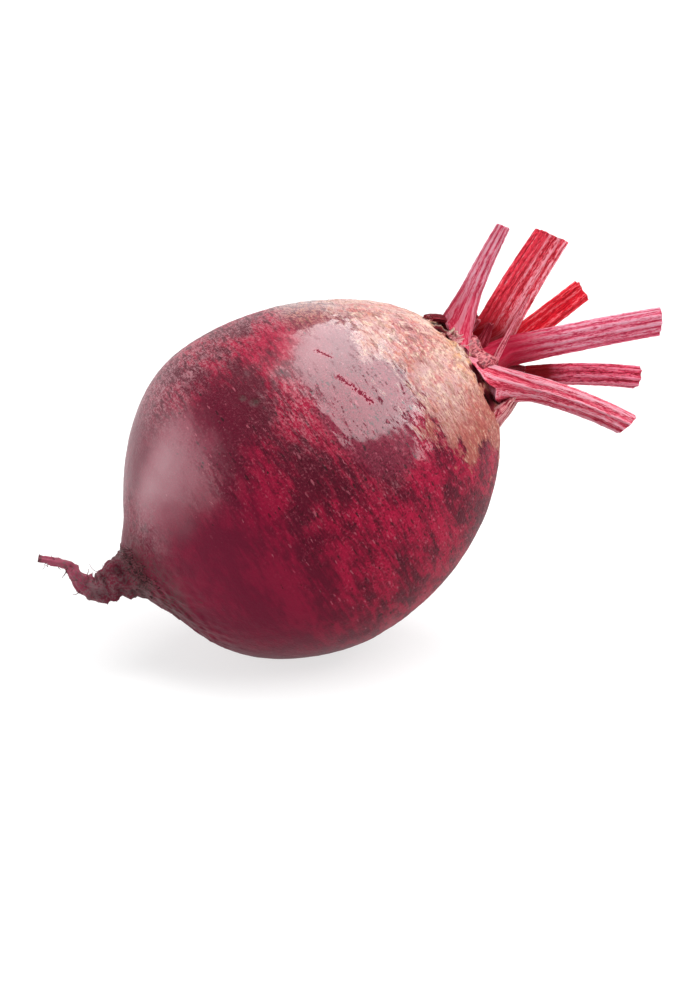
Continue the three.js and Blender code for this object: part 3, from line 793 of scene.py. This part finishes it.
# way its rounded back looks. leans: degrees from the axis at the foot and the end. flare: how much wider
# the foot is. slant: how the cut slopes. redder: from where to where across it the skin is redder, and by
# how much. clasp: from one angle to another round the crown, how far out, how far above the rim, how thick,
# and the length of the widened foot.
CUT_RINGS = [1.0, 0.975, 0.93, 0.82, 0.62, 0.38, 0.15]
CUT_BLEND = 4


def wavering(x, y, z):
    """Smooth noise between about -1 and 1 at each place."""
    places = points_at(x, y, z)
    values = [noise.noise(Vector(place)) for place in places.reshape(-1, 3)]
    return np.array(values).reshape(places.shape[:-1])


def stalk_skin(foot, around, facing, leans, length, width, end_width, thickness, flare=0.0, slant=0.0,
               redder=(0, 1, 0), ribs=9, sides=96, steps=84, channel=0.6, ragged=0.22, shrink=1.0,
               crumple=0.0, clasp=None, seed=0):
    """A stalk's closed skin from its foot to the middle of its cut end, with marks for its material."""
    outer, back = outwards(around), outwards(facing)
    turns = -ring_angles(sides)
    across, inner = np.cos(turns), np.sin(turns)
    waver = wavering(across * 1.3, inner * 1.3, seed * 5.1)
    rib_wave = np.cos(ribs * turns + 2.2 * waver)
    ribbing = 1 + 0.06 * rib_wave + 0.018 * np.cos(2 * ribs * turns + 5 * waver) + 0.05 * waver
    spot = np.array([foot[0], foot[1], rim_height + foot[2]])
    rings = []
    for step in range(steps + len(CUT_RINGS)):
        place = min(step / steps, 1)
        lean = math.radians(leans[0] + (leans[1] - leans[0]) * place**0.8)
        heading = np.array([0, 0, math.cos(lean)]) + outer * math.sin(lean)
        if 0 < step <= steps:
            spot = spot + heading * length / steps
        side = unit(np.cross(heading, back))
        inwards = np.cross(heading, side)
        spread = 1 + flare * math.exp(-place * length / 5)
        ring_width = (width + (end_width - width) * place) * spread
        ring_thickness = thickness * (1 + (end_width / width - 1) * place) * (1 + (shrink - 1) * place)
        depth = channel * float(ramp(place, -0.15, 0.3))
        dip = np.where(inner > 0, 1 - depth * np.exp(-((across / 0.6) ** 2)), 1)
        size = CUT_RINGS[step - steps] if step >= steps else 1.0
        ring = (
            spot + side * (ring_width / 2 * across * ribbing * size)[:, None]
            + inwards * (ring_thickness / 2 * inner * dip * ribbing * size)[:, None]
        )
        if step > steps - CUT_BLEND:
            rough = wavering(across * 2.4 * size, inner * 2.4 * size, seed * 7.0 + 1)
            reach = slant * ring_width / 2 * across * size + ragged * rough
            if step >= steps:
                reach += 0.12 * math.sqrt(1 - (2 * size - 1) ** 2) if size > 0.9 else 0.02
            ring = ring + heading * (reach * min(1, (step - steps + CUT_BLEND) / CUT_BLEND))[:, None]
        if clasp and place * length < clasp[5]:
            start, end, clasp_reach, rise, wall, height = clasp
            round_crown = np.radians((start + end) / 2 + (end - start) / 2 * across)
            reach = clasp_reach + 0.7 * across**4 - wall / 2 * inner
            tatter = wavering(across * 4.5, seed * 3.3, inner * 0.8)
            top = rim_height + rise - 1.5 * across**4 + 0.5 * waver + 1.3 * tatter
            sheath = points_at(reach * np.cos(round_crown), reach * np.sin(round_crown), top)
            grown = (place * length / height) ** 1.35
            ring = sheath * (1 - grown) + ring * grown
        rings.append(ring)
    rings = np.array(rings)
    bumps = uneven(rings + seed * 31.0, 0.8, 2)
    away = rings - rings.mean(axis=1)[:, None, :]
    away /= np.maximum(np.linalg.norm(away, axis=2), 1e-6)[..., None]
    on_side = (np.arange(len(rings)) < steps)[:, None]
    if crumple:
        rings = rings + away * (crumple * uneven(rings * 0.9 + seed, 1.0, 3))[..., None]
    rings = rings + away * (0.08 * bumps * on_side)[..., None]
    places = np.minimum(np.arange(len(rings)) / steps, 1)[:, None]
    grain = points_at(across[None] * width / 2 + seed * 9.0, inner[None] * thickness / 2, places * length)
    from_side, to_side, amount = redder
    is_cut = np.arange(len(rings)) > steps + 1
    return ring_skin(
        rings, grain=grain, rib=(0.5 + 0.5 * rib_wave)[None, :, None], along=places[..., None],
        red_side=(amount * ramp(across, from_side, to_side))[None, :, None],
        cut=is_cut[:, None, None] * 1.0)


# The streaks of a stalk: crimson with pale threads along it, darker in the grooves, and painted shade that
# darkens its foot where it enters the crown.
FLESH_PALE, FLESH_RED = (0.80, 0.30, 0.34), (0.50, 0.03, 0.07)
STALK_GRAIN_DEPTH = 0.0009

tree, asked, given = new_group(
    "stalk_streaks",
    [("Red", "Color", None), ("Pink", "Color", None), ("Dark", "Color", None),
     ("Pinkness", "Float", 0.5), ("Foot Shade", "Float", 0.5)],
    [("Color", "Color"), ("Relief", "Float")])
grain = tree.mark("grain", "Vector")
rib, along, cut, red_side = (tree.mark(label) for label in ("rib", "along", "cut", "red_side"))
threads = tree.cloud(tree.stretched(grain, 2.3, 2.3, 0.17), 1.0, 4.0, 0.7)
fine_threads = tree.cloud(tree.stretched(grain, 6.4, 6.4, 0.85), 1.0, 3.0, 0.75)
drops = tree.cloud(tree.stretched(grain, 1.8, 1.8, 0.9), 1.0, 4.0, 0.6)
lift = tree.weighed((rib, 0.16), (threads, 0.6), (fine_threads, 0.7), (red_side, -1.0), start=-0.01)
lift = tree.plus(lift, asked["Pinkness"])
grooves = tree.weighed((threads, 0.47), (fine_threads, 0.47), (rib, 0.06))
tree.plug(tree.layered(tree.blend(tree.step(lift, 1.17, 1.30), asked["Red"], asked["Pink"]), [
    (tree.step(grooves, 0.505, 0.420, 0, 0.9), asked["Dark"]),
    # Painted shade: the foot darkens where the stalk enters the crown.
    (tree.times(tree.step(along, 0.56, 0.20), asked["Foot Shade"]), asked["Dark"]),
    (cut, tree.blend(tree.step(drops, 0.4, 0.6), FLESH_PALE, FLESH_RED)),
]), given["Color"])
tree.plug(tree.weighed((fine_threads, 0.6), start=threads), given["Relief"])

STALK_FINISHES = {
    "stalk_back_broad": [(0.93, 0.050, 0.088), (0.99, 0.40, 0.48), (0.34, 0.0020, 0.009), 0.485, 0.95],
    "stalk_inner": [(0.98, 0.150, 0.265), (0.99, 0.46, 0.59), (0.56, 0.010, 0.048), 0.485, 0.95],
    "stalk_back_short": [(0.84, 0.012, 0.030), (0.97, 0.18, 0.22), (0.36, 0.002, 0.008), 0.41, 0.60],
    "stalk_under": [(0.92, 0.072, 0.155), (0.97, 0.28, 0.40), (0.24, 0.001, 0.007), 0.470, 2.30],
    "stalk_upper": [(0.98, 0.145, 0.250), (0.99, 0.49, 0.61), (0.54, 0.009, 0.045), 0.490, 0.60],
    "stalk_front": [(0.96, 0.110, 0.190), (0.99, 0.45, 0.55), (0.48, 0.008, 0.032), 0.480, 0.15],
}  # red, pink, dark, how pink it is, how dark its foot is


def streaked(tree, red, pink, dark, pinkness, foot_shade):
    """The streaks of a stalk in colours of their own."""
    return tree.effect("stalk_streaks", {
        "Red": red, "Pink": pink, "Dark": dark, "Pinkness": pinkness, "Foot Shade": foot_shade})


def stalk_finish(name, *colours):
    """A moist, faintly shiny material with the streaks of a stalk."""
    material, tree, sockets = new_material(name, 0.45, specular=0.09)
    streaks = streaked(tree, *colours)
    tree.plug(streaks["Color"], sockets["Base Color"])
    tree.plug(tree.bump(streaks["Relief"], STALK_GRAIN_DEPTH), sockets["Normal"])
    return material


for seed, (name, stalk) in enumerate(STALKS.items()):
    finish = stalk_finish(name.replace("stalk", "finish"), *STALK_FINISHES[name])
    piece = skin_piece(name + "_flesh", [stalk_skin(seed=seed, **stalk)], finish)
    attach(piece, "root")
    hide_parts(name)

# ---------- Withered leaf bases, young leaves, shade sheets and sheaths ---
# What is left of earlier leaves, dried and torn, is packed round the crown between the stalks and the
# cork, and the tips of a few young leaves stand between the stalks, coloured dark as painted shade of the
# hollow they stand in. All are streaked like the stalks.
OLD_LEAVES = 14
LEAF_SPIRAL = 137.5
STALKS_AT_FRONT, MOVED_ON = (-135, -25), 130  # where the stalks take the room, how far a leaf moves on
YOUNG_LEAVES_AND_SHADE_SHEETS = [
    [-5.6, 1.0, 170, 7.0, 4, 20, 3.4], [6.0, -1.9, -20, 6.0, 4, 20, 3.4], [-4.6, 6.2, 130, 8.0, 4, 20, 3.4],
    [-1.6, -4.4, 180, 9.5, 33, 35, 4.6], [2.6, 1.6, -6, 11.5, 29, 36, 5.0],
]  # place, which way it leans, length, lean at the foot and the tip, width
TORN_LEAF_BASE = dict(
    foot=[-9.8, 0.4, 3.6], around=180, facing=180, leans=[95, 150], length=6.4,
    width=5.0, end_width=3.6, thickness=2.4, slant=0.4)
SHEATH_RIDGE = dict(
    foot=[1.4, -7.0, 4.0], around=148, facing=238, leans=[30, 26], length=20.0,
    width=1.7, end_width=0.35, thickness=1.3)
SHEATHS = [
    [-160, -126, 12.4, 12.0, 0.6, 11.2, 3.6, -146, 0.7, 0.9, 1.6],
    [146, 182, 12.2, 12.0, 1.4, 10.8, 4.0, 168, 0.6, 0.9, 1.2],
    [-22, 20, 12.4, 12.0, 1.2, 11.2, 3.6, 5, 0.7, 0.9, 1.1],
    [30, 70, 12.0, 12.0, 1.2, 10.6, 4.2, 55, 0.7, 0.9, 1.1],
    [-54, -22, 15.6, 15.2, -3.4, 12.7, 6.4, -38, 0.2, 0.5, 1.8],
]  # from one angle to another, foot's distance at each, its height, top's distance and height, where it is
# highest and by how much, how torn it is, thickness


def seeded(state):
    """Numbers from 0 to 1 that come out the same each time."""
    multiplier, increment, modulus = 1664525, 1013904223, 2**32
    while True:
        state = (state * multiplier + increment) % modulus
        yield state / modulus


chance = seeded(7)
old_leaves = []
for index in range(OLD_LEAVES):
    age = index / (OLD_LEAVES - 1)
    around = 50 + LEAF_SPIRAL * index
    if STALKS_AT_FRONT[0] < (around + 180) % 360 - 180 < STALKS_AT_FRONT[1]:
        around += MOVED_ON
    foot = outwards(around) * mix_of(9.4, 12.4, age)
    width = mix_of(3.0, 4.2, age) * mix_of(0.7, 1.2, next(chance))
    leaning = around + mix_of(-15, 15, next(chance))
    length = mix_of(3.2, 1.8, age) * mix_of(0.7, 1.2, next(chance))
    old_leaves.append(stalk_skin(
        foot=[foot[0], foot[1], mix_of(3.4, 0.2, age)], around=leaning, facing=around,
        leans=[mix_of(12, 30, age), mix_of(30, 52, age)], length=length, width=width, end_width=width * 0.72,
        thickness=2.2, slant=mix_of(-0.5, 0.5, next(chance)), channel=0.3, ribs=7, sides=40, steps=12,
        ragged=0.5, shrink=0.7, crumple=0.55, seed=20 + index))


def sheath_skin(start, end, foot_start, foot_end, foot_rise, top_reach, top_rise, peak, peak_rise,
                torn, thickness, seed):
    """A thin torn band that stands round part of the crown."""
    steps, sides = 72, 36
    turns = ring_angles(sides)
    rise = 0.5 - 0.5 * np.cos(turns)
    face = np.sign(np.sin(turns)) * np.abs(np.sin(turns)) ** 0.5
    rings = []
    for step in range(steps + 1):
        place = step / steps
        around = start + (end - start) * place
        foot_reach = mix_of(foot_start, foot_end, place**1.5)
        top = top_rise + peak_rise * math.exp(-(((around - peak) / 20) ** 2)) - foot_rise
        frill = wavering(around * 0.12, seed, 0.3) + 0.6 * wavering(around * 0.5, seed, 4.3)
        top *= (1 - 0.2 * torn + 0.45 * torn * frill) * min(1, 7 * place + 0.05, 7 * (1 - place) + 0.05)
        waver = 0.35 * wavering(place * 9, seed, 2.0)
        reach = foot_reach + (top_reach - foot_reach) * rise**1.2 + waver
        wall = thickness * (1 - 0.5 * rise) * min(1, 5 * place + 0.15, 5 * (1 - place) + 0.15)
        standing = points_at(0, 0, rim_height + foot_rise + top * rise)
        rings.append(outwards(around) * (reach + face * wall / 2)[:, None] + standing)
    rings = np.array(rings)
    rings = rings + uneven(rings + seed * 3.0, 0.6, 3)[..., None] * 0.18
    arc = np.arange(steps + 1)[:, None] / steps * abs(end - start) * math.pi / 180 * foot_start
    grain = points_at(arc + seed * 9.0, face[None] * thickness / 2, rise[None] * 5)
    rib = 0.5 + 0.5 * np.cos(arc * 4.0)
    nowhere = np.zeros((1, 1, 1))
    return ring_skin(
        rings, grain=grain, rib=rib[..., None], along=0.1 + 0.5 * rise[None, :, None],
        red_side=nowhere, cut=nowhere)


WITHERED_RED, WITHERED_PINK, WITHERED_DARK = (0.58, 0.20, 0.20), (0.84, 0.60, 0.50), (0.16, 0.020, 0.025)
WITHERED_STRAW, WITHERED_RUST = (0.86, 0.70, 0.52), (0.50, 0.16, 0.05)
WITHERED_GRAIN_DEPTH = 0.0006

withered_material, tree, sockets = new_material("withered_leaf", 0.62, specular=0.35)
streaks = streaked(tree, WITHERED_RED, WITHERED_PINK, WITHERED_DARK, 0.50, 0.6)
stains = tree.cloud(tree.effect("plant_place", {})["Place"], 0.5, 4.0, 0.6)
tree.plug(tree.layered(streaks["Color"], [
    (tree.step(stains, 0.50, 0.60, 0, 0.85), WITHERED_STRAW),
    (tree.step(stains, 0.40, 0.32, 0, 0.7), WITHERED_RUST),
]), sockets["Base Color"])
tree.plug(tree.bump(streaks["Relief"], WITHERED_GRAIN_DEPTH), sockets["Normal"])

sheath_skins = [sheath_skin(*sheath, seed=number * 3.7) for number, sheath in enumerate(SHEATHS)]
ridge_skin = stalk_skin(
    **SHEATH_RIDGE, ribs=5, sides=24, steps=40, ragged=0.1, shrink=0.8, channel=0, seed=70)
torn_skin = stalk_skin(
    **TORN_LEAF_BASE, ribs=7, sides=44, steps=24, ragged=0.5, shrink=0.9, seed=50)
# Young leaves that lean far out turn their backs to the front and end in a narrower tip. They are dark
# sheets of painted shade, laid where the gaps between the stalks lie in shade.
FAR_OUT = 20
young_and_shade_skins = []
for number, (x, y, around, length, lean, tip_lean, width) in enumerate(YOUNG_LEAVES_AND_SHADE_SHEETS):
    is_far_out = lean > FAR_OUT
    young_and_shade_skins.append(stalk_skin(
        foot=[x, y, 2.6], around=around, facing=-80 if is_far_out else around, leans=[lean, tip_lean],
        length=length, width=width, end_width=width * (0.35 if is_far_out else 0.7), thickness=2.0,
        channel=0.3, ribs=7, sides=40, steps=20, ragged=0.6, shrink=0.7, seed=60 + number))

sheath_material = stalk_finish(
    "finish_sheath", (0.62, 0.09, 0.13), (0.86, 0.42, 0.42), (0.26, 0.010, 0.024), 0.53, 0.2)
ridge_material = stalk_finish(
    "finish_ridge", (0.78, 0.035, 0.085), (0.98, 0.32, 0.40), (0.30, 0.004, 0.018), 0.52, 0.1)
torn_material = stalk_finish(
    "finish_torn", (0.22, 0.006, 0.018), (0.50, 0.06, 0.09), (0.09, 0.002, 0.006), 0.40, 0.3)
# Dark colours: painted shade of the hollow between the stalks.
young_shade_material = stalk_finish(
    "finish_young_shade", (0.34, 0.008, 0.024), (0.66, 0.12, 0.17), (0.10, 0.002, 0.008), 0.42, 0.8)

for name, skins, material in (
    ("withered_leaf_bases", old_leaves, withered_material),
    ("leaf_sheaths", sheath_skins, sheath_material),
    ("sheath_ridge", [ridge_skin], ridge_material),
    ("torn_leaf_base", [torn_skin], torn_material),
    ("young_leaves_and_shade_sheets", young_and_shade_skins, young_shade_material),
):
    piece = skin_piece(name, skins, material)
    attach(piece, "root")

# ---------- Rootlets ----------
# Hair-like side roots, wiry and dry. They stand off the tail all along it, and lie close to the skin at
# the foot of the belly, where the tail begins.
TAIL_HAIRS, BELLY_HAIRS = 60, 70
HAIR_TIP_RADIUS = 0.05
DRY_ROOT, ROSY_ROOT = (0.060, 0.022, 0.026), (0.22, 0.060, 0.075)


def rootlet_skin(start, heading, length, thick, curl, seed):
    """A hair's closed skin, from its foot to a thin tip."""
    sides, steps = 7, 12
    turns = ring_angles(sides)
    heading = unit(heading)
    spot = np.array(start, float)
    rings = []
    for step in range(steps + 1):
        place = step / steps
        bend = wavering(place * 2.1, seed, np.arange(3) * 3.3)
        heading = unit(heading + bend * curl)
        if step:
            spot = spot + heading * length / steps
        side = unit(np.cross(heading, [0.3, 0.9, 0.2]))
        other = np.cross(heading, side)
        size = mix_of(thick, HAIR_TIP_RADIUS, place)
        rings.append(spot + size * (side * np.cos(turns)[:, None] + other * np.sin(turns)[:, None]))
    return ring_skin(np.array(rings))


def on_tail(place):
    """The middle and the radius of the tail at a place from 0 to 1 along it."""
    upwards, to_back, below, tail_radius = smooth_line(TAIL_ROUTE, [place])[0]
    return np.array([-upwards, to_back, -below]), tail_radius


rootlets = []
chance = seeded(23)
for index in range(TAIL_HAIRS):
    place = 0.02 + 0.93 * (index + next(chance)) / TAIL_HAIRS
    middle, tail_radius = on_tail(place)
    run = unit(on_tail(min(1, place + 0.02))[0] - middle)
    side = unit(np.cross(run, [0, 1, 0]))
    turned_by = 2 * math.pi * next(chance)
    away = side * math.cos(turned_by) + np.cross(side, run) * math.sin(turned_by)
    rootlets.append(rootlet_skin(
        middle + away * tail_radius * 0.75, away + run * 0.5,
        length=mix_of(0.7, 3.0, next(chance) ** 3) + tail_radius * 0.25,
        thick=mix_of(0.07, 0.20, next(chance) ** 2), curl=0.45, seed=3.1 * index))
for index in range(BELLY_HAIRS):
    ring = TAIL_START - int(mix_of(-3, 8, next(chance)))
    side = int(ROOT_SIDES * (mix_of(-155, -95, next(chance)) % 360) / 360)
    lying = out[ring, (side + 80) % ROOT_SIDES] * mix_of(-1, 1, next(chance)) + np.array([0, 0, -0.8])
    rootlets.append(rootlet_skin(
        skin[ring, side], lying + out[ring, side] * 0.25,
        length=mix_of(1.0, 2.8, next(chance)),
        thick=mix_of(0.07, 0.13, next(chance)), curl=0.3, seed=200 + 1.7 * index))

rootlet_material, tree, sockets = new_material("rootlet_fibre", 0.75, specular=0.25)
rosy = tree.step(tree.cloud(tree.effect("plant_place", {})["Place"], 0.9), 0.4, 0.6)
tree.plug(tree.blend(rosy, DRY_ROOT, ROSY_ROOT), sockets["Base Color"])
rootlet_piece = skin_piece("rootlets", rootlets, rootlet_material)
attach(rootlet_piece, "root")

# ---------- Floor and light ----------
# A seamless pale table, a long soft box overhead, a small panel that lights the stalks, a glow low on the
# tail's side, and dim white surroundings.
FLOOR_REACH = 8
FLOOR_GREY = (0.33, 0.33, 0.33, 1)
WHITE = (1, 1, 1, 1)
FLOOR_GLOW, FLOOR_GLOW_SEEN = 0.43, 0.70
TAIL_SIDE = (-0.98, 0.19, 0.03)
TAIL_SIDE_BEGINS = 0.70
GLOW_BEGINS, GLOW_FULL = 0.09, 0.35  # metres from the root
LIT_POINT = Vector((0, 0, 0.04))
WALL_GLOW = 0.29


def glow_on_tail_side(tree, direction, most):
    """A glow that is strongest where a direction points to the tail's side."""
    towards = tree.vector("DOT_PRODUCT", direction, TAIL_SIDE).outputs["Value"]
    return tree.step(towards, TAIL_SIDE_BEGINS, 1.0, 0.0, most)


floor_mesh = bpy.data.meshes.new("floor")
corners = [(-FLOOR_REACH, -FLOOR_REACH), (FLOOR_REACH, -FLOOR_REACH),
           (FLOOR_REACH, FLOOR_REACH), (-FLOOR_REACH, FLOOR_REACH)]
floor_mesh.from_pydata([(*corner, 0) for corner in corners], [], [(0, 1, 2, 3)])
floor_material, tree, sockets = new_material("pale_table", 0.9, specular=0.1)
sockets["Base Color"].default_value = FLOOR_GREY
sockets["Emission Color"].default_value = WHITE
spot = tree.node("TexCoord").outputs["Object"]
tail_glow = tree.times(
    glow_on_tail_side(tree, tree.vector("NORMALIZE", spot).outputs[0], 1.4),
    tree.step(tree.vector("LENGTH", spot).outputs["Value"], GLOW_BEGINS, GLOW_FULL))
unseen_glow = tree.plus(tail_glow, FLOOR_GLOW)
is_seen = tree.node("LightPath").outputs["Is Camera Ray"]
tree.plug(tree.step(is_seen, 0.0, 1.0, unseen_glow, FLOOR_GLOW_SEEN), sockets["Emission Strength"])
floor_mesh.materials.append(floor_material)
floor = bpy.data.objects.new("floor", floor_mesh)
bpy.context.scene.collection.objects.link(floor)


def soft_box(name, azimuth, elevation, distance, width, height, radiance, roll=0):
    """A rectangular light that looks at the root. Its power comes from how bright its face is."""
    data = bpy.data.lights.new(name, "AREA")
    data.shape = "RECTANGLE"
    data.size, data.size_y = width, height
    data.energy = radiance * math.pi * width * height
    light = bpy.data.objects.new(name, data)
    direction = direction_to(azimuth, elevation)
    across = Vector((math.cos(math.radians(azimuth)), math.sin(math.radians(azimuth)), 0))
    upright = direction.cross(across)
    rolled = across * math.cos(math.radians(roll)) + upright * math.sin(math.radians(roll))
    light.location = LIT_POINT + direction * distance
    light.rotation_mode = "QUATERNION"
    matrix = np.array([rolled, direction.cross(rolled), direction]).T
    light.rotation_quaternion = Matrix(matrix.tolist()).to_quaternion()
    bpy.context.scene.collection.objects.link(light)


soft_box("stalk_panel", 66, 24, 0.45, 0.26, 0.26, 3.0)
soft_box("overhead_box", 73.3, 73.7, 3.0, 2.5, 5.6, 4.3, roll=131.5)

world = bpy.data.worlds.new("white_wall_behind")
world.use_nodes = True
tree = Shading(world.node_tree)
view = tree.node("TexCoord").outputs["Generated"]
_, to_back, upwards = tree.split(view)
behind = tree.step(to_back, 0.1, 0.95)
low = tree.step(upwards, 0.75, 0.35, 0.0, 0.8)
wall = tree.plus(tree.weighed((behind, low), start=WALL_GLOW), glow_on_tail_side(tree, view, 2.1))
wall = tree.larger(wall, tree.node("LightPath").outputs["Is Camera Ray"])
background = world.node_tree.nodes["Background"].inputs
tree.plug(wall, background["Strength"])
background["Color"].default_value = WHITE
bpy.context.scene.world = world
bpy.context.scene.view_settings.view_transform = "Standard"
